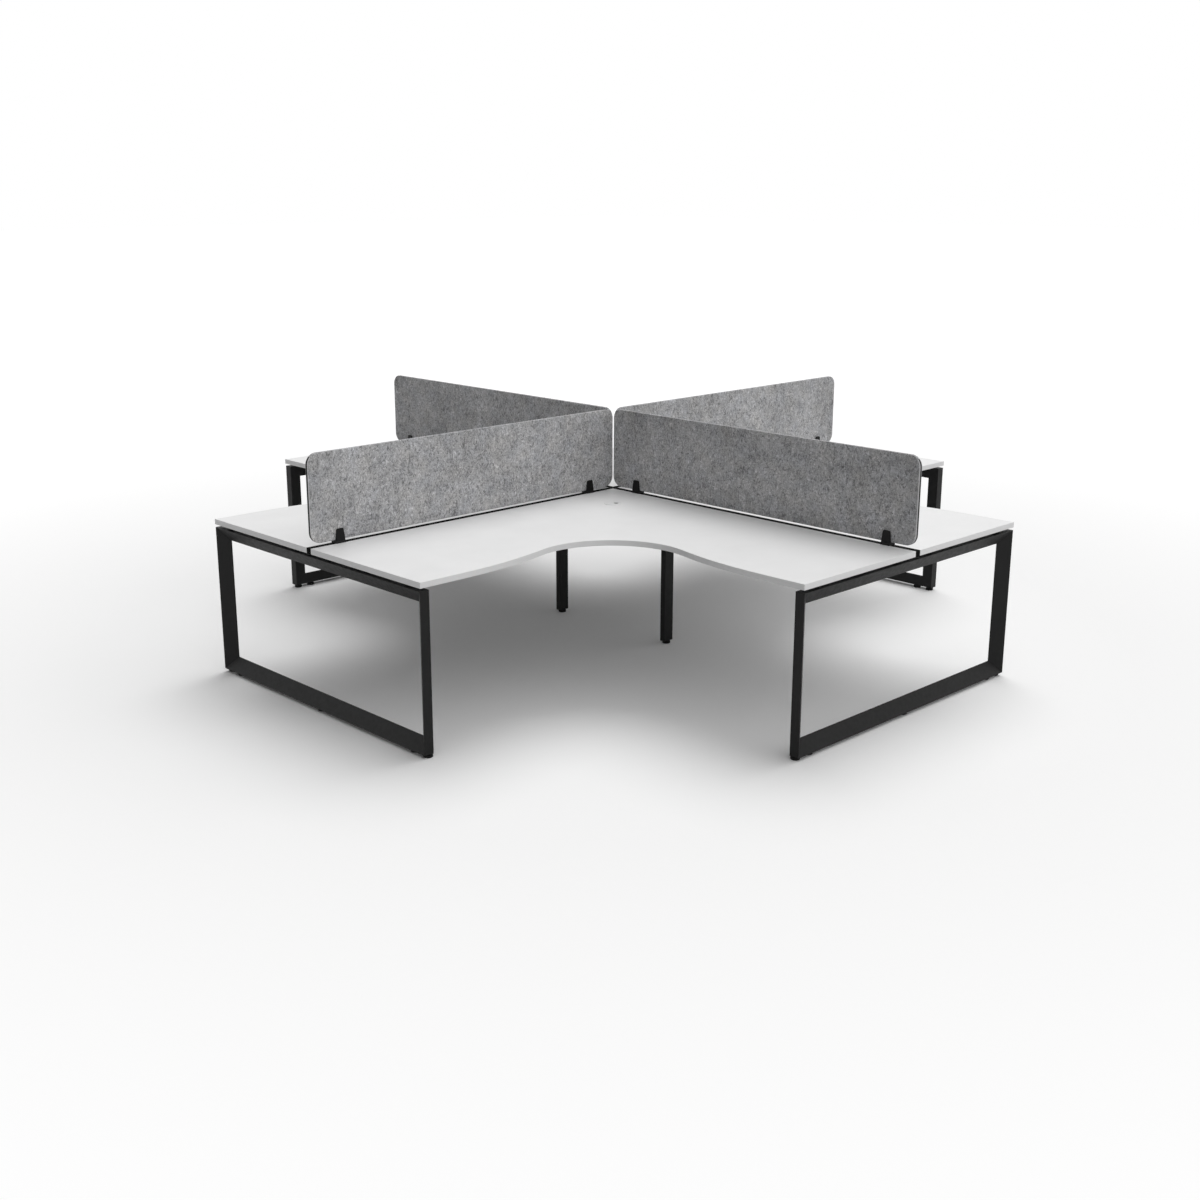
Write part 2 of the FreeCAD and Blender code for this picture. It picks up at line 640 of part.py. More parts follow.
def insert_rings(body, places):
    """Threaded bushes: a barrel through the wall, a flange on it and a barrel above."""
    flange_base = "(Size.foot_rise + Size.tube_wall)"
    flange_top = f"({flange_base} + Size.insert_flange)"
    barrel = "(Size.insert_radius - Size.insert_fit)"
    steps = (("Size.foot_rise", "Size.tube_wall", barrel),
             (flange_base, "Size.insert_flange", "Size.insert_flange_radius"),
             (flange_top, f"Size.foot_rise + Size.insert_length - {flange_top}", barrel))
    pads = []
    for base, height, radius in steps:
        ring = new_sketch(body, "XY_Plane", base)
        circles(ring, places, radius)
        circles(ring, places, STUD_HOLE)
        pads.append(pad(body, ring, height))
    return pads


def make_inserts():
    inserts = new_body("foot_inserts")
    polar(inserts, insert_rings(inserts, [(FOOT_REACH, across) for across in FOOT_SIDES]))
    polar(inserts, insert_rings(inserts, [("Size.post_place", ZERO)]), TURNS // 2)


def make_foot(label, x, y):
    """A glide turned in one piece with its stud, screwed fully in at rest."""
    foot = new_body(label)
    foot.setExpression("Placement.Base.x", x)
    foot.setExpression("Placement.Base.y", y)
    profile = new_sketch(foot, "XZ_Plane")
    shoulder = "Size.foot_rise"
    stud_top = "(Size.foot_rise + Size.stud_length)"
    polygon(profile, [
        (ZERO, ZERO), ("Size.foot_radius - Size.foot_edge", ZERO), ("Size.foot_radius", "Size.foot_edge"),
        ("Size.foot_radius", "Size.foot_pad"), ("Size.foot_neck_radius", "Size.foot_pad + Size.foot_edge"),
        ("Size.foot_neck_radius", shoulder), ("Size.stud_radius", shoulder), ("Size.stud_radius", stud_top),
        (ZERO, stud_top)])
    turning = foot.newObject("PartDesign::Revolution", "Revolution")
    turning.Profile = profile
    turning.ReferenceAxis = (profile, ["V_Axis"])
    turning.Angle = QUARTER * TURNS


def make_clamps():
    """Moulded clamps that stand over the gap and grip the screen between two tapered jaws."""
    clamps = new_body("screen_clamps")
    faces = new_sketch(clamps, "XZ_Plane")
    crown = "(Size.top_height + Size.clamp_height)"
    for middle in (CLAMP_INNER, CLAMP_OUTER):
        base = "Size.clamp_length / 2"
        top = "Size.clamp_crown_length / 2"
        slim = "(Size.clamp_crown_length / 2 - Size.clamp_chamfer)"
        under = f"({crown} - Size.clamp_chamfer)"
        polygon(faces, [
            (f"{middle} - {base}", "Size.top_height"), (f"{middle} + {base}", "Size.top_height"),
            (f"{middle} + {top}", under), (f"{middle} + {slim}", crown),
            (f"{middle} - {slim}", crown), (f"{middle} - {top}", under)])
    blocks = pad(clamps, faces, "Size.clamp_width", symmetric=True)
    trims = new_sketch(clamps, "YZ_Plane", CLAMP_INNER)
    above = f"({crown} + Size.overrun)"
    beyond = "(Size.clamp_width / 2 + Size.overrun)"
    grip = "Size.screen_thickness / 2"
    rectangle(trims, f"-{grip}", SCREEN_UNDER, grip, above)
    for side in ("", "-"):
        polygon(trims, [
            (f"{side}{beyond}", "Size.top_height + Size.clamp_foot_height"),
            (f"{side}{beyond}", above), (f"{side}Size.clamp_crown_width / 2", above),
            (f"{side}Size.clamp_shoulder_width / 2", "Size.top_height + Size.clamp_shoulder_height")])
    trim = pocket(clamps, trims)
    holes = new_sketch(clamps, "XY_Plane", "Size.top_height")
    places = [(CLAMP_INNER, ZERO), (CLAMP_OUTER, ZERO)]
    circles(holes, places, CLAMP_BOLT_HOLE)
    drill = pocket(clamps, holes, "Size.clamp_bolt_grip + Size.overrun", upward=True)
    polar(clamps, [blocks, trim, drill])

    plates = new_body("clamp_plates")
    outline = new_sketch(plates, "XY_Plane", f"{TOP_UNDER} - Size.clamp_plate_thickness")
    half = "Size.clamp_plate_width / 2"
    for middle in (CLAMP_INNER, CLAMP_OUTER):
        rectangle(outline, f"{middle} - Size.clamp_length / 2", f"-{half}",
                  f"{middle} + Size.clamp_length / 2", half)
    circles(outline, places, CLAMP_BOLT_HOLE)
    polar(plates, [pad(plates, outline, "Size.clamp_plate_thickness")])

    bolts = new_body("clamp_bolts")
    seat = f"({TOP_UNDER} - Size.clamp_plate_thickness)"
    heads = new_sketch(bolts, "XY_Plane", f"{seat} - Size.clamp_bolt_head")
    circles(heads, places, "Size.clamp_bolt_head_radius")
    head_pad = pad(bolts, heads, "Size.clamp_bolt_head")
    shanks = new_sketch(bolts, "XY_Plane", seat)
    circles(shanks, places, "Size.clamp_bolt_radius")
    length = "Size.clamp_plate_thickness + Size.top_thickness + Size.clamp_bolt_grip"
    polar(bolts, [head_pad, pad(bolts, shanks, length)])


def make_ports():
    """Sleeves of the cable ports, set into the worktops, each with a ledge that carries its cap."""
    sleeves = new_body("port_sleeves")
    place = [(PORT_PLACE, f"-{PORT_PLACE}")]
    barrel = "(Size.port_bore_radius - Size.port_clearance)"
    ledge_top = f"({CAP_UNDER} - Size.port_clearance)"
    rings = (("Size.top_height", "Size.port_lip", "Size.port_radius", PORT_INNER),
             ("Size.top_height - Size.port_depth", "Size.port_depth", barrel, PORT_INNER),
             (f"{ledge_top} - Size.port_ledge", "Size.port_ledge", PORT_INNER, f"{PORT_INNER} - Size.port_ledge"))
    pads = []
    for base, height, outer, inner in rings:
        ring = new_sketch(sleeves, "XY_Plane", base)
        circles(ring, place, outer)
        circles(ring, place, inner)
        pads.append(pad(sleeves, ring, height))
    polar(sleeves, pads)


def make_cap(corner, quarter):
    """A turning cover with one round cable hole towards its rim."""
    cap = new_body(f"port_cap_{corner}", quarter)
    x, y = turned(PORT_PLACE, f"-{PORT_PLACE}", quarter)
    cap.setExpression("Placement.Base.x", x)
    cap.setExpression("Placement.Base.y", y)
    disc = new_sketch(cap, "XY_Plane", CAP_UNDER)
    circles(disc, [(ZERO, ZERO)], f"{PORT_INNER} - Size.port_clearance")
    aside = f"Size.cable_offset * sin({QUARTER / 2})"
    circles(disc, [(aside, aside)], "Size.cable_radius")
    pad(cap, disc, "Size.cap_thickness")


for quarter, corner in enumerate(CORNERS):
    make_worktop(corner, quarter)
    make_cap(corner, quarter)
for quarter, arm in enumerate(ARMS):
    make_cover(arm, quarter)
    make_screen(arm, quarter)
    make_loop(arm, quarter)
    for number, across in enumerate(FOOT_SIDES, start=1):
        make_foot(f"foot_{arm}_{number}", *turned(FOOT_REACH, across, quarter))
for arm in ("east", "west"):
    make_post(arm, ARMS.index(arm))
    make_crosshead(arm, ARMS.index(arm))
    make_foot(f"foot_post_{arm}", *turned("Size.post_place", ZERO, ARMS.index(arm)))
make_main_rail("north", "")
make_main_rail("south", "-")
CROSS_RAILS = (("northeast", "north", "-"), ("northwest", "north", ""), ("southwest", "south", "-"),
               ("southeast", "south", ""))
for corner, arm, side in CROSS_RAILS:
    make_rail(f"cross_rail_{corner}", ARMS.index(arm), RAIL_SIDE, LOOP_BACK, f"{side}Size.rail_place",
              ["Size.screw_inner_place", SCREW_OUTER])
make_frame_bolts()
make_screws_and_spacers()
make_inserts()
make_clamps()
make_ports()
doc.recompute()

for thing in doc.Objects:
    if "Invalid" in thing.State or "Error" in thing.State:
        raise RuntimeError(f"{thing.Label} did not build: {thing.State}")
os.makedirs("parts", exist_ok=True)
for thing in subparts:
    if thing.Shape.isNull() or not thing.Shape.isValid():
        raise RuntimeError(f"{thing.Label} has no valid shape")
    thing.Shape.exportStep(os.path.join("parts", f"{thing.Label}.step"))
    print(thing.Label, len(thing.Shape.Solids), round(thing.Shape.Volume))
print(len(subparts), "sub-parts")
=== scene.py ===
import math

import bmesh
import bpy
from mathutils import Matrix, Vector


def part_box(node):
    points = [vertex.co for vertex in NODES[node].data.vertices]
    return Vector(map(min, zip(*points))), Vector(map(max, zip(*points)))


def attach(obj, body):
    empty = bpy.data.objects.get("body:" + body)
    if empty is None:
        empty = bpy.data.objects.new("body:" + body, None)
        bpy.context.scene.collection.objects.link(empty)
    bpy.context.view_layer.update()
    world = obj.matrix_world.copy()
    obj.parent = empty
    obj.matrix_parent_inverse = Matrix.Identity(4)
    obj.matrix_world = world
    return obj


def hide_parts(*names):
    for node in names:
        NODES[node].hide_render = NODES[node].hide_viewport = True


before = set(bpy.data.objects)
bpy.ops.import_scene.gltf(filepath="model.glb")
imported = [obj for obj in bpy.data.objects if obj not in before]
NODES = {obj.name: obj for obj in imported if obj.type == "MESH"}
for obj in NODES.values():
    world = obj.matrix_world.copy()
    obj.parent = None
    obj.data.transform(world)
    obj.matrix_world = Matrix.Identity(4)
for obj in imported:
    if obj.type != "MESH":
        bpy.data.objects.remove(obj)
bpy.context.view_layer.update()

ARMS = ("east", "north", "west", "south")

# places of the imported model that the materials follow, in metres
LOOP_LOW, LOOP_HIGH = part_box("loop_leg_south")
LOOP_HALF = LOOP_HIGH[0]
LOOP_BASE = LOOP_LOW[2]
LOOP_TOP = LOOP_HIGH[2]
TOP_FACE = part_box("worktop_southeast")[1][2]

# sockets of the mix node that carry colours
MIX_FACTOR, MIX_FIRST, MIX_SECOND, MIX_RESULT = 0, 6, 7, 2


def fresh_material(name, **sockets):
    """A node material with one principled shader, whose plain values are set on its own sockets."""
    material = bpy.data.materials.new(name)
    material.use_nodes = True
    shader = material.node_tree.nodes["Principled BSDF"]
    for socket, value in sockets.items():
        shader.inputs[socket.replace("_", " ")].default_value = value
    return material, material.node_tree, shader


def node(tree, kind, **settings):
    """A new node of a tree, with its settings made."""
    made = tree.nodes.new(kind)
    for name, value in settings.items():
        setattr(made, name, value)
    return made


def place_of(tree):
    """Coordinates in the row frame, in metres."""
    return node(tree, "ShaderNodeTexCoord").outputs["Object"]


def axes_of(tree, vector):
    """The X, Y and Z of a vector."""
    split = node(tree, "ShaderNodeSeparateXYZ")
    tree.links.new(vector, split.inputs["Vector"])
    return split.outputs


def noise(tree, scale, detail=3.0, roughness=0.5, stretch=None, distortion=0.0):
    """A cloud of the given scale per metre; a stretch below 1 draws it out along that axis."""
    where = place_of(tree)
    if stretch is not None:
        mapping = node(tree, "ShaderNodeMapping")
        mapping.inputs["Scale"].default_value = stretch
        tree.links.new(where, mapping.inputs["Vector"])
        where = mapping.outputs["Vector"]
    cloud = node(tree, "ShaderNodeTexNoise")
    cloud.inputs["Scale"].default_value = scale
    cloud.inputs["Detail"].default_value = detail
    cloud.inputs["Roughness"].default_value = roughness
    cloud.inputs["Distortion"].default_value = distortion
    tree.links.new(where, cloud.inputs["Vector"])
    return cloud.outputs["Fac"]


def spread(tree, value, low=0.0, high=1.0, start=0.3, end=0.7):
    """Maps a value from start..end to low..high."""
    ramp = node(tree, "ShaderNodeMapRange")
    ramp.inputs["From Min"].default_value = start
    ramp.inputs["From Max"].default_value = end
    ramp.inputs["To Min"].default_value = low
    ramp.inputs["To Max"].default_value = high
    tree.links.new(value, ramp.inputs["Value"])
    return ramp.outputs["Result"]


def math_node(tree, operation, *values):
    """The result of a sum on numbers and sockets."""
    made = node(tree, "ShaderNodeMath", operation=operation)
    for socket, value in zip(made.inputs, values):
        if isinstance(value, (int, float)):
            socket.default_value = value
        else:
            tree.links.new(value, socket)
    return made.outputs["Value"]


def from_middle(tree, cloud):
    """How far a cloud is from its middle value; the least values are thin winding lines."""
    return math_node(tree, "ABSOLUTE", math_node(tree, "SUBTRACT", cloud, 0.5))


def mix_colour(tree, factor, first, second, blend="MIX"):
    """A mix of two colours, each a plain value or a socket."""
    mix = node(tree, "ShaderNodeMix", data_type="RGBA", blend_type=blend)
    for index, value in ((MIX_FACTOR, factor), (MIX_FIRST, first), (MIX_SECOND, second)):
        if isinstance(value, (tuple, float)):
            mix.inputs[index].default_value = value
        else:
            tree.links.new(value, mix.inputs[index])
    return mix.outputs[MIX_RESULT]


def grey(level):
    return (level, level, level, 1.0)


def bump(tree, shader, height, strength, distance):
    """Fine relief on a shader, with its height in metres."""
    made = node(tree, "ShaderNodeBump")
    made.inputs["Strength"].default_value = strength
    made.inputs["Distance"].default_value = distance
    tree.links.new(height, made.inputs["Height"])
    tree.links.new(made.outputs["Normal"], shader.inputs["Normal"])


def worktop_material():
    """White melamine: faint clouds and an orange-peel press texture, and a finer grain on the edge band."""
    material, tree, shader = fresh_material("white_melamine", IOR=1.46)
    clouds = spread(tree, noise(tree, scale=6.0, detail=4.0))
    face = mix_colour(tree, clouds, grey(0.84), grey(0.87))
    facing = axes_of(tree, node(tree, "ShaderNodeTexCoord").outputs["Normal"])
    flat = spread(tree, math_node(tree, "ABSOLUTE", facing["Z"]), start=0.5, end=0.9)
    fine = noise(tree, scale=900.0, detail=2.0)
    band = mix_colour(tree, spread(tree, fine), grey(0.84), grey(0.87))
    rough = spread(tree, noise(tree, scale=40.0, detail=4.0), low=0.42, high=0.52)
    tree.links.new(mix_colour(tree, flat, band, face), shader.inputs["Base Color"])
    tree.links.new(rough, shader.inputs["Roughness"])
    bump(tree, shader, fine, strength=0.08, distance=0.0004)
    return material


def mitre_lines(tree):
    """1 along the thin weld lines at the loops' mitres, 0 elsewhere."""
    axes = axes_of(tree, place_of(tree))
    across = math_node(tree, "MINIMUM", math_node(tree, "ABSOLUTE", axes["X"]),
                       math_node(tree, "ABSOLUTE", axes["Y"]))
    from_side = math_node(tree, "SUBTRACT", LOOP_HALF, across)
    from_end = math_node(tree, "MINIMUM", math_node(tree, "SUBTRACT", axes["Z"], LOOP_BASE),
                         math_node(tree, "SUBTRACT", LOOP_TOP, axes["Z"]))
    away = math_node(tree, "ABSOLUTE", math_node(tree, "SUBTRACT", from_side, from_end))
    return spread(tree, away, low=1.0, high=0.0, start=0.0004, end=0.0014)


def powder_coat(name, level, low_rough, high_rough, mitres=False):
    """Black paint with a fine grain; on the loops a filled weld line shows at each mitre."""
    material, tree, shader = fresh_material(name, IOR=1.45, Specular_IOR_Level=0.22)
    height = noise(tree, scale=1400.0, detail=2.0)
    clouds = spread(tree, noise(tree, scale=9.0, detail=4.0))
    colour = mix_colour(tree, clouds, grey(level * 0.85), grey(level * 1.15))
    rough = spread(tree, noise(tree, scale=60.0, detail=4.0), low_rough, high_rough)
    if mitres:
        line = mitre_lines(tree)
        colour = mix_colour(tree, line, colour, grey(level * 0.35))
        height = math_node(tree, "SUBTRACT", height, line)
    tree.links.new(colour, shader.inputs["Base Color"])
    tree.links.new(rough, shader.inputs["Roughness"])
    bump(tree, shader, height, strength=0.12, distance=0.0004)
    return material


# shares of clouds, blotches and fibres in the felt's tone, and its faint tints
WIDE_SHARE, BLOTCH_SHARE, FIBRE_SHARE = 0.12, 0.60, 0.28
COOL_TINT = (0.975, 0.985, 1.03, 1.0)
WARM_TINT = (1.006, 0.99, 0.985, 1.0)
# scales of the fine dark and pale hairs, and how much wider their tufts are
HAIR_SCALES = (115.0, 135.0)
TUFT_RATIO = 4


def felt_material(name, stops, sheen):
    """Pressed felt: clouds and tints, blotches, matted fibres, dark flecks and strokes, and fine hairs."""
    material, tree, shader = fresh_material(name, Roughness=0.95, Sheen_Weight=sheen, Sheen_Roughness=0.6,
                                            IOR=1.35)
    darkest, palest = grey(stops[0][1]), grey(stops[-1][1])
    wide = noise(tree, scale=4.2, detail=2.0)
    blotches = noise(tree, scale=62.0, detail=8.0, roughness=0.75, stretch=(1.0, 1.0, 0.75), distortion=1.8)
    upright = noise(tree, scale=170.0, detail=4.0, roughness=0.65, stretch=(1.0, 1.0, 0.22), distortion=0.8)
    lying = noise(tree, scale=170.0, detail=4.0, roughness=0.65, stretch=(0.22, 0.22, 1.0), distortion=0.8)
    fibres = math_node(tree, "MAXIMUM", upright, lying)
    tone = math_node(tree, "MULTIPLY", blotches, BLOTCH_SHARE)
    tone = math_node(tree, "MULTIPLY_ADD", wide, WIDE_SHARE, tone)
    tone = math_node(tree, "MULTIPLY_ADD", fibres, FIBRE_SHARE, tone)
    ramp = node(tree, "ShaderNodeValToRGB")
    ramp.color_ramp.interpolation = "EASE"
    while len(ramp.color_ramp.elements) < len(stops):
        ramp.color_ramp.elements.new(0.5)
    for element, (position, level) in zip(ramp.color_ramp.elements, stops):
        element.position = position
        element.color = grey(level)
    tree.links.new(tone, ramp.inputs["Fac"])
    tint = mix_colour(tree, spread(tree, noise(tree, scale=11.0, detail=2.0)), COOL_TINT, WARM_TINT)
    colour = mix_colour(tree, 1.0, ramp.outputs["Color"], tint, blend="MULTIPLY")
    clumps = noise(tree, scale=85.0, roughness=0.6, stretch=(1.0, 1.0, 0.6), distortion=1.6)
    flecks = spread(tree, clumps, low=0.75, high=0.0, start=0.37, end=0.45)
    winding = from_middle(tree, noise(tree, scale=30.0, detail=2.0, distortion=3.0))
    strokes = spread(tree, winding, low=1.0, high=0.0, start=0.008, end=0.035)
    patches = spread(tree, noise(tree, scale=16.0, detail=2.0), high=0.85, start=0.49, end=0.6)
    marks = math_node(tree, "MAXIMUM", flecks, math_node(tree, "MULTIPLY", strokes, patches))
    colour = mix_colour(tree, marks, colour, darkest)
    for scale, hair_colour in zip(HAIR_SCALES, (darkest, palest)):
        winding = from_middle(tree, noise(tree, scale=scale, detail=1.0, distortion=2.5))
        hairs = spread(tree, winding, low=0.45, high=0.0, start=0.008, end=0.04)
        tufts = spread(tree, noise(tree, scale=scale / TUFT_RATIO, detail=2.0), start=0.42, end=0.58)
        colour = mix_colour(tree, math_node(tree, "MULTIPLY", hairs, tufts), colour, hair_colour)
    tree.links.new(colour, shader.inputs["Base Color"])
    bump(tree, shader, fibres, strength=0.4, distance=0.0012)
    return material


# depths below the worktop's face between which the painted shade on the port's sleeve turns into its white
# lip
SHADE_DEPTH, LIP_DEPTH = 0.0012, 0.0008


def port_material():
    """White moulded lip with fine grain; below the worktop's face the sleeve is painted near-black as shade
    inside the hole.
    """
    material, tree, shader = fresh_material("white_port", IOR=1.46)
    grain = noise(tree, scale=500.0)
    height = axes_of(tree, place_of(tree))["Z"]
    above = spread(tree, height, start=TOP_FACE - SHADE_DEPTH, end=TOP_FACE - LIP_DEPTH)
    white = mix_colour(tree, spread(tree, grain), grey(0.80), grey(0.85))
    # painted shade: the sleeve inside the hole is near-black, and the lip above it is white
    tree.links.new(mix_colour(tree, above, grey(0.02), white), shader.inputs["Base Color"])
    tree.links.new(spread(tree, grain, low=0.36, high=0.46), shader.inputs["Roughness"])
    bump(tree, shader, grain, strength=0.1, distance=0.0003)
    return material


def moulded_material(name, level, low_rough, high_rough, shine=0.2):
    """Moulded plastic with a fine spark-eroded grain."""
    material, tree, shader = fresh_material(name, IOR=1.45, Specular_IOR_Level=shine)
    grain = noise(tree, scale=700.0)
    clouds = spread(tree, noise(tree, scale=20.0))
    colour = mix_colour(tree, clouds, grey(level * 0.9), grey(level * 1.08))
    tree.links.new(colour, shader.inputs["Base Color"])
    tree.links.new(spread(tree, grain, low_rough, high_rough), shader.inputs["Roughness"])
    bump(tree, shader, grain, strength=0.15, distance=0.0004)
    return material


def steel_material():
    """Zinc-plated steel with fine turning marks."""
    material, tree, shader = fresh_material("zinc_steel", Metallic=1.0)
    marks = noise(tree, scale=500.0, detail=4.0, roughness=0.6, stretch=(1.0, 1.0, 6.0))
    tree.links.new(mix_colour(tree, marks, grey(0.42), grey(0.58)), shader.inputs["Base Color"])
    tree.links.new(spread(tree, marks, low=0.3, high=0.5), shader.inputs["Roughness"])
    bump(tree, shader, marks, strength=0.1, distance=0.0003)
    return material


# felts as stops of tone and grey level, from dark to pale
FELT_STOPS = ((0.39, 0.122), (0.47, 0.34), (0.53, 0.495), (0.62, 0.77))
# the rim is a slightly paler felt, brightened further as a painted highlight on the rolled ends
RIM_HIGHLIGHT_STOPS = ((0.36, 0.55), (0.5, 0.66), (0.66, 0.78))
CORE_STOPS = ((0.36, 0.03), (0.5, 0.055), (0.66, 0.09))

WHITE_TOP = worktop_material()
BLACK_LOOP = powder_coat("black_powder_coat_loop", level=0.011, low_rough=0.42, high_rough=0.56, mitres=True)
BLACK_FRAME = powder_coat("black_powder_coat", level=0.008, low_rough=0.46, high_rough=0.6)
FELT = felt_material("grey_felt", FELT_STOPS, sheen=0.08)
FELT_RIM_HIGHLIGHT = felt_material("felt_rim_painted_highlight", RIM_HIGHLIGHT_STOPS, sheen=0.12)
FELT_EDGE = felt_material("dark_felt_edge", CORE_STOPS, sheen=0.0)
BLACK_CLAMP = moulded_material("black_moulded_clamp", level=0.007, low_rough=0.42, high_rough=0.55)
BLACK_COVER = moulded_material("black_cover", level=0.007, low_rough=0.75, high_rough=0.9, shine=0.04)
BLACK_FOOT = moulded_material("black_foot", level=0.007, low_rough=0.45, high_rough=0.6)
BLACK_SPACER = moulded_material("black_spacer", level=0.010, low_rough=0.6, high_rough=0.75)
WHITE_PORT = port_material()
STEEL = steel_material()

# what each CAD node is painted with, by the start of its name; the first that fits counts
PAINT = (
    ("worktop_screws", STEEL), ("worktop_", WHITE_TOP), ("loop_leg_", BLACK_LOOP),
    ("screen_clamps", BLACK_CLAMP), ("screen_", FELT), ("gap_cover_", BLACK_COVER),
    ("foot_inserts", STEEL), ("foot_", BLACK_FOOT), ("port_", WHITE_PORT),
    ("clamp_bolts", STEEL), ("frame_bolts", STEEL), ("top_spacers", BLACK_SPACER),
    ("clamp_plates", BLACK_FRAME), ("centre_post_", BLACK_FRAME), ("crosshead_", BLACK_FRAME),
    ("main_rail_", BLACK_FRAME), ("cross_rail_", BLACK_FRAME))
# bevel widths of painted and moulded edges, in metres
SOFT_EDGES = (
    ("loop_leg_", 0.0012), ("screen_clamps", 0.0015), ("gap_cover_", 0.0006), ("main_rail_", 0.0015),
    ("cross_rail_", 0.0015), ("crosshead_", 0.0015), ("clamp_plates", 0.0005), ("port_cap_", 0.0005))
WELD_DISTANCE = 0.00001
FLAT_ANGLE = math.radians(1.0)
BEVEL_STEPS = 3
BEVEL_ANGLE = math.radians(25)


def soften(thing, width):
    """Rounds a node's edges with modifiers, after its triangles are joined into flat faces."""
    thing.modifiers.new("weld", "WELD").merge_threshold = WELD_DISTANCE
    flat = thing.modifiers.new("flat", "DECIMATE")
    flat.decimate_type = "DISSOLVE"
    flat.angle_limit = FLAT_ANGLE
    soft = thing.modifiers.new("soft", "BEVEL")
    soft.width = width
    soft.segments = BEVEL_STEPS
    soft.limit_method = "ANGLE"
    soft.angle_limit = BEVEL_ANGLE
    soft.harden_normals = True


for name, thing in NODES.items():
    for slot in thing.material_slots:
        slot.material = next(paint for start, paint in PAINT if name.startswith(start))
    for start, width in SOFT_EDGES:
        if name.startswith(start):
            soften(thing, width)

# felt panels, in metres: two skins with a dark core that shows at the ends, and beside the core a paler rim
# that carries a painted highlight
CORNER_RADIUS = 0.050
CORNER_STEPS = 14
WRAP_RADIUS = 0.0030
WRAP_STEPS = 5
WRAP_SINK = 0.0004
CORE_HALF = 0.0053
# inset from the outline, and how far the face lies there below the panel's half thickness
CROWN = ((0.008, 0.0003), (0.018, 0.0001), (0.030, 0.0))
# slots of the panel's paints: the rim with its painted highlight, and the dark core
RIM_HIGHLIGHT_PAINT, CORE_PAINT = 1, 2


def rounded_outline(x_low, z_low, x_high, z_high, radius, steps):
    """Points round a rectangle with rounded corners."""
    points = []
    centres = ((x_high - radius, z_low + radius, -90), (x_high - radius, z_high - radius, 0),
               (x_low + radius, z_high - radius, 90), (x_low + radius, z_low + radius, 180))
    for x, z, start in centres:
        for step in range(steps + 1):
            angle = math.radians(start + 90 * step / steps)
            points.append((x + radius * math.cos(angle), z + radius * math.sin(angle)))
    return points


def panel_rings(half):
    """Insets and depths of the outlines from the back face round the edge to the front face."""
    rings = [(0.0, CORE_HALF)]
    for step in range(WRAP_STEPS + 1):
        angle = math.radians(90 * step / WRAP_STEPS)
        rings.append((WRAP_RADIUS * (1 - math.cos(angle)),
                      half - WRAP_RADIUS + WRAP_RADIUS * math.sin(angle) - WRAP_SINK))
    rings += [(inset, half - drop) for inset, drop in CROWN]
    return [(inset, -y) for inset, y in reversed(rings)] + rings


def make_screen(arm, quarter):
    """A felt panel with softly rolled edges, in place of its plain solid."""
    low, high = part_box(f"screen_{arm}")
    along = 0 if quarter % 2 == 0 else 1
    across = 1 - along
    rings = panel_rings((high[across] - low[across]) / 2)
    mesh = bmesh.new()
    loops = []
    for inset, y in rings:
        outline = rounded_outline(low[along] + inset, low[2] + inset, high[along] - inset, high[2] - inset,
                                  CORNER_RADIUS - inset, CORNER_STEPS)
        loops.append([mesh.verts.new((a, y, z) if along == 0 else (y, a, z)) for a, z in outline])
    for first, second, (inset, _), (inset_after, _) in zip(loops, loops[1:], rings, rings[1:]):
        on_edge = max(inset, inset_after) <= WRAP_RADIUS
        for here, there in zip(range(len(first)), [*range(1, len(first)), 0]):
            face = mesh.faces.new((first[here], first[there], second[there], second[here]))
            run = first[there].co - first[here].co
            # on the rolled ends the core is painted dark and the rim beside it pale, a painted highlight;
            # top and bottom edges keep the plain felt
            if on_edge and abs(run.z) > abs(run[along]):
                in_core = first[here].co[across] * second[here].co[across] < 0
                face.material_index = CORE_PAINT if in_core else RIM_HIGHLIGHT_PAINT
    mesh.faces.new(list(reversed(loops[0])))
    mesh.faces.new(loops[-1])
    bmesh.ops.recalc_face_normals(mesh, faces=mesh.faces)
    data = bpy.data.meshes.new(f"felt_screen_{arm}")
    mesh.to_mesh(data)
    mesh.free()
    for paint in (FELT, FELT_RIM_HIGHLIGHT, FELT_EDGE):
        data.materials.append(paint)
    for face in data.polygons:
        face.use_smooth = True
    panel = bpy.data.objects.new(f"felt_screen_{arm}", data)
    bpy.context.collection.objects.link(panel)
    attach(panel, "frame")
    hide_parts(f"screen_{arm}")


for quarter, arm in enumerate(ARMS):
    make_screen(arm, quarter)

# camera of the photograph, in metres, millimetres of lens and degrees
CAMERA_PLACE = (5.1670, -5.1519, 2.2477)
CAMERA_DIP = 15.131
CAMERA_TURN = 45.981
SENSOR_WIDTH = 36.0
LENS_LENGTH = 44.129
LENS_SHIFT = (0.0080, -0.0206)
FAR_CLIP = 200.0

lens = bpy.data.cameras.new("camera")
lens.sensor_width = SENSOR_WIDTH
lens.lens = LENS_LENGTH
lens.shift_x, lens.shift_y = LENS_SHIFT
lens.clip_end = FAR_CLIP
camera = bpy.data.objects.new("camera", lens)
camera.location = CAMERA_PLACE
camera.rotation_euler = (math.radians(90 - CAMERA_DIP), 0, math.radians(CAMERA_TURN))
bpy.context.collection.objects.link(camera)
bpy.context.scene.camera = camera


def seen_ray(tree):
    """1 for rays that show the background: from the camera, in gloss or through glass."""
    path = node(tree, "ShaderNodeLightPath")
    either = math_node(tree, "MAXIMUM", path.outputs["Is Camera Ray"], path.outputs["Is Glossy Ray"])
    return math_node(tree, "MAXIMUM", either, path.outputs["Is Transmission Ray"])


# world that is white to look at and, as a light, leans towards one side and fades away from it
SKY_BASE = 0.11
SKY_LEAN = (0.60, 0.31, 0.63)

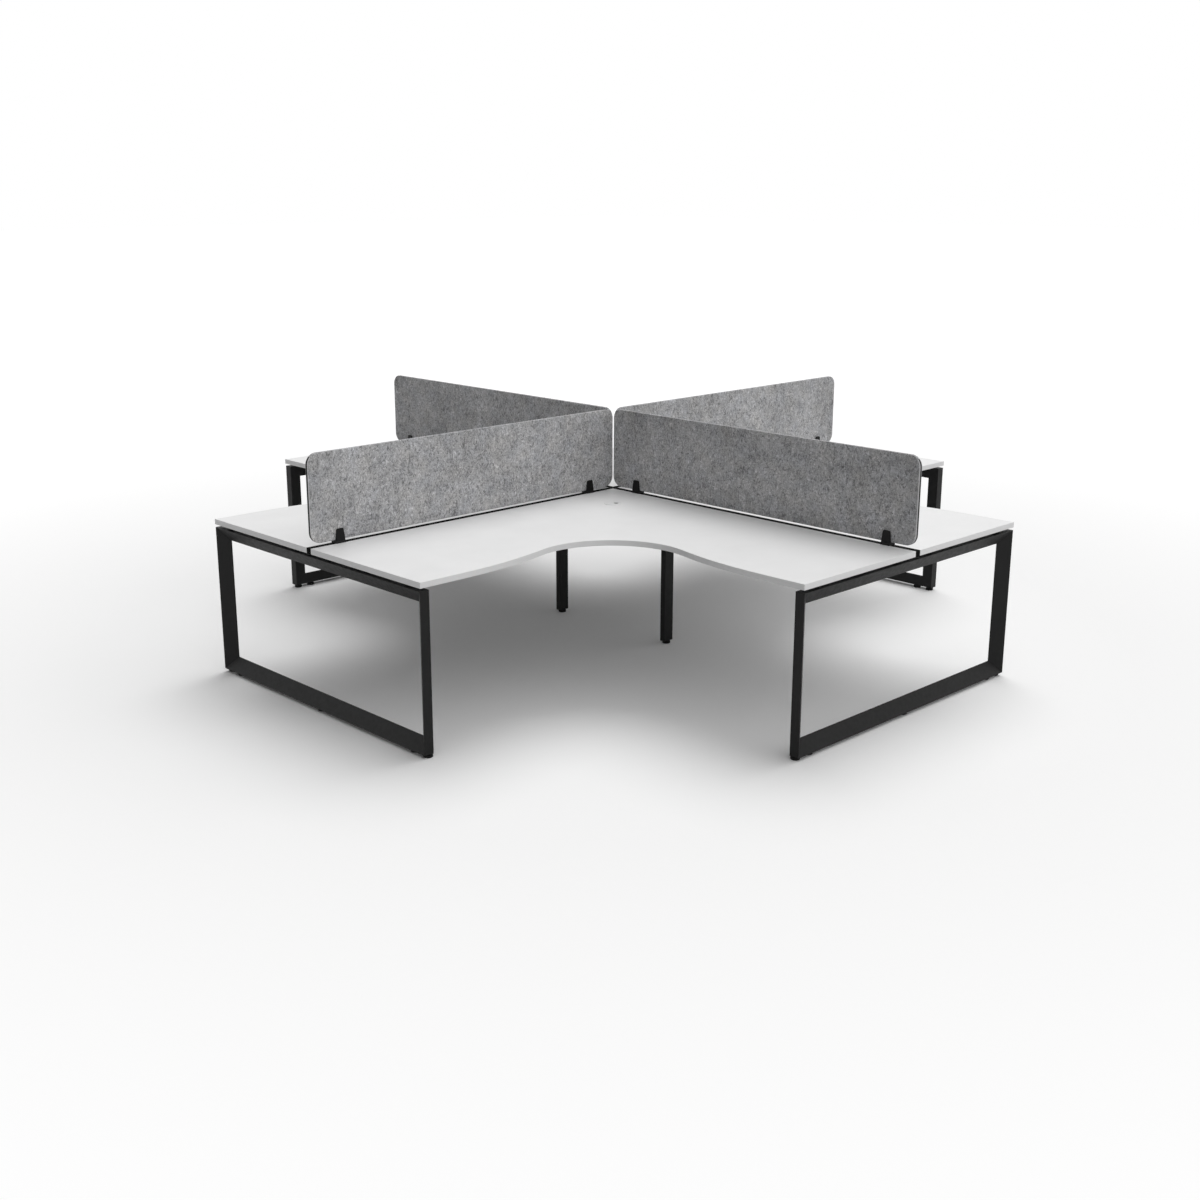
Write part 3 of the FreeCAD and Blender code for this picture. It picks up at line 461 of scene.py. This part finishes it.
world = bpy.data.worlds.new("studio")
world.use_nodes = True
bpy.context.scene.world = world
sky_tree = world.node_tree
sky = sky_tree.nodes["Background"]
sky.inputs["Color"].default_value = (1, 1, 1, 1)
lean = node(sky_tree, "ShaderNodeVectorMath", operation="DOT_PRODUCT")
lean.inputs[1].default_value = SKY_LEAN
sky_tree.links.new(node(sky_tree, "ShaderNodeTexCoord").outputs["Generated"], lean.inputs[0])
soft_light = math_node(sky_tree, "ADD", lean.outputs["Value"], SKY_BASE)
soft_light = math_node(sky_tree, "MAXIMUM", soft_light, 0.0)
sky_seen = seen_ray(sky_tree)
sky_unseen = math_node(sky_tree, "SUBTRACT", 1.0, sky_seen)
unseen_light = math_node(sky_tree, "MULTIPLY", soft_light, sky_unseen)
sky_tree.links.new(math_node(sky_tree, "ADD", sky_seen, unseen_light), sky.inputs["Strength"])

# soft key from high above, slightly behind
SUN_STRENGTH = 1.25
SUN_ANGLE = math.radians(45)
SUN_FROM = (-0.26, 0.44, 1.0)

sun = bpy.data.lights.new("key", "SUN")
sun.energy = SUN_STRENGTH
sun.angle = SUN_ANGLE
key = bpy.data.objects.new("key", sun)
key.rotation_euler = Vector(SUN_FROM).to_track_quat("Z", "Y").to_euler()
bpy.context.collection.objects.link(key)

# pale floor that keeps the shadow; what it throws back on the object is duller, and far off it glows
FLOOR_HALF = 60.0
FLOOR_DROP = 0.0005
FLOOR_SEEN = grey(0.98)
FLOOR_THROWN = grey(0.55)
GLOW_NEAR, GLOW_FAR = 0.02, 0.2
GLOW_START, GLOW_END = 2.6, 7.0

floor_data = bpy.data.meshes.new("floor")
floor_corners = [(x * FLOOR_HALF, y * FLOOR_HALF, 0) for x, y in ((-1, -1), (1, -1), (1, 1), (-1, 1))]
floor_data.from_pydata(floor_corners, [], [(0, 1, 2, 3)])
floor = bpy.data.objects.new("floor", floor_data)
floor.location.z = -FLOOR_DROP
floor_paint, floor_tree, floor_shader = fresh_material(
    "pale_floor", Roughness=1.0, Specular_IOR_Level=0.0, Emission_Color=(1, 1, 1, 1))
floor_seen = seen_ray(floor_tree)
floor_colour = mix_colour(floor_tree, floor_seen, FLOOR_THROWN, FLOOR_SEEN)
away = node(floor_tree, "ShaderNodeVectorMath", operation="LENGTH")
floor_tree.links.new(place_of(floor_tree), away.inputs[0])
glow = spread(floor_tree, away.outputs["Value"], GLOW_NEAR, GLOW_FAR, GLOW_START, GLOW_END)
glow = math_node(floor_tree, "MULTIPLY", floor_seen, glow)
floor_tree.links.new(floor_colour, floor_shader.inputs["Base Color"])
floor_tree.links.new(glow, floor_shader.inputs["Emission Strength"])
floor_data.materials.append(floor_paint)
bpy.context.collection.objects.link(floor)

bpy.context.scene.view_settings.view_transform = "Standard"
